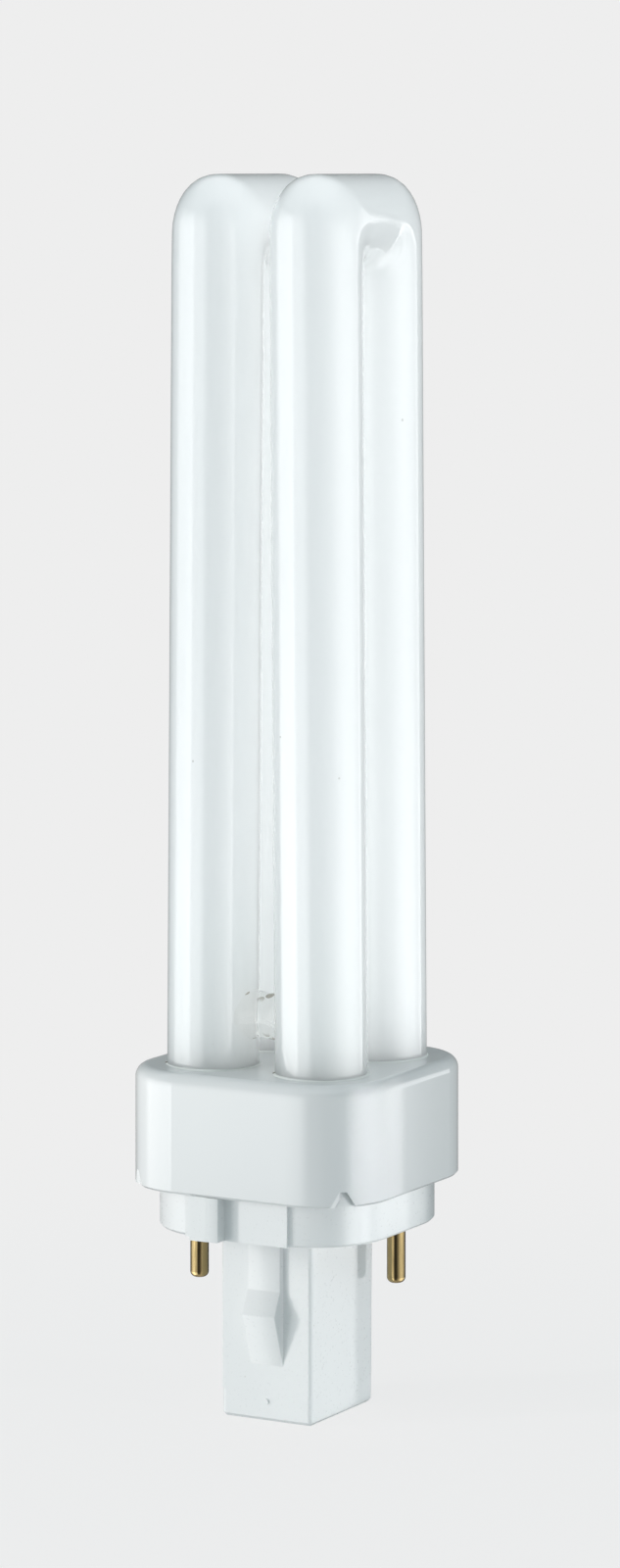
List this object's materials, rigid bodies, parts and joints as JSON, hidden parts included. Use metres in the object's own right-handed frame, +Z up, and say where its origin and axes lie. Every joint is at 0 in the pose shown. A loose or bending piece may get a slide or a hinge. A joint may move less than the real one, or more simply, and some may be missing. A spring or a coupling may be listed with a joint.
{
  "type": "plug-in fluorescent lamp",
  "caption": "Plug-in fluorescent lamp: squared U-bent white glass tubes joined by a bridge, on a rounded square housing with a keyed cap, brass contact pins and a latching post.",
  "frame": {"origin": "middle of the cap's seating face, under the ring, on the lamp's axis", "axes": "+Z up the lamp from the cap to the bends; X along the bridge; Y along the crowns of the bends"},
  "size_m": [0.034, 0.034, 0.1524],
  "materials": {
    "coated_glass": "clear glass with a white powder coat inside, glossy",
    "housing_plastic": "white, satin",
    "cement": "matte",
    "cap_plastic": "white, satin",
    "pin_brass": "bright drawn brass",
    "starter_glass": "clear",
    "capacitor_coat": "dipped, glossy",
    "lead_wire": "tinned"
  },
  "bodies": {
    "root": {"discharge_tube": "coated_glass", "housing": "housing_plastic", "tube_cement": "cement", "cap": "cap_plastic", "contact_pin_right": "pin_brass", "contact_pin_left": "pin_brass", "glow_starter": "starter_glass", "starter_capacitor": "capacitor_coat", "pin_lead_right": "lead_wire", "pin_lead_left": "lead_wire", "starter_lead_right": "lead_wire", "starter_lead_left": "lead_wire"}
  },
  "joints": []
}
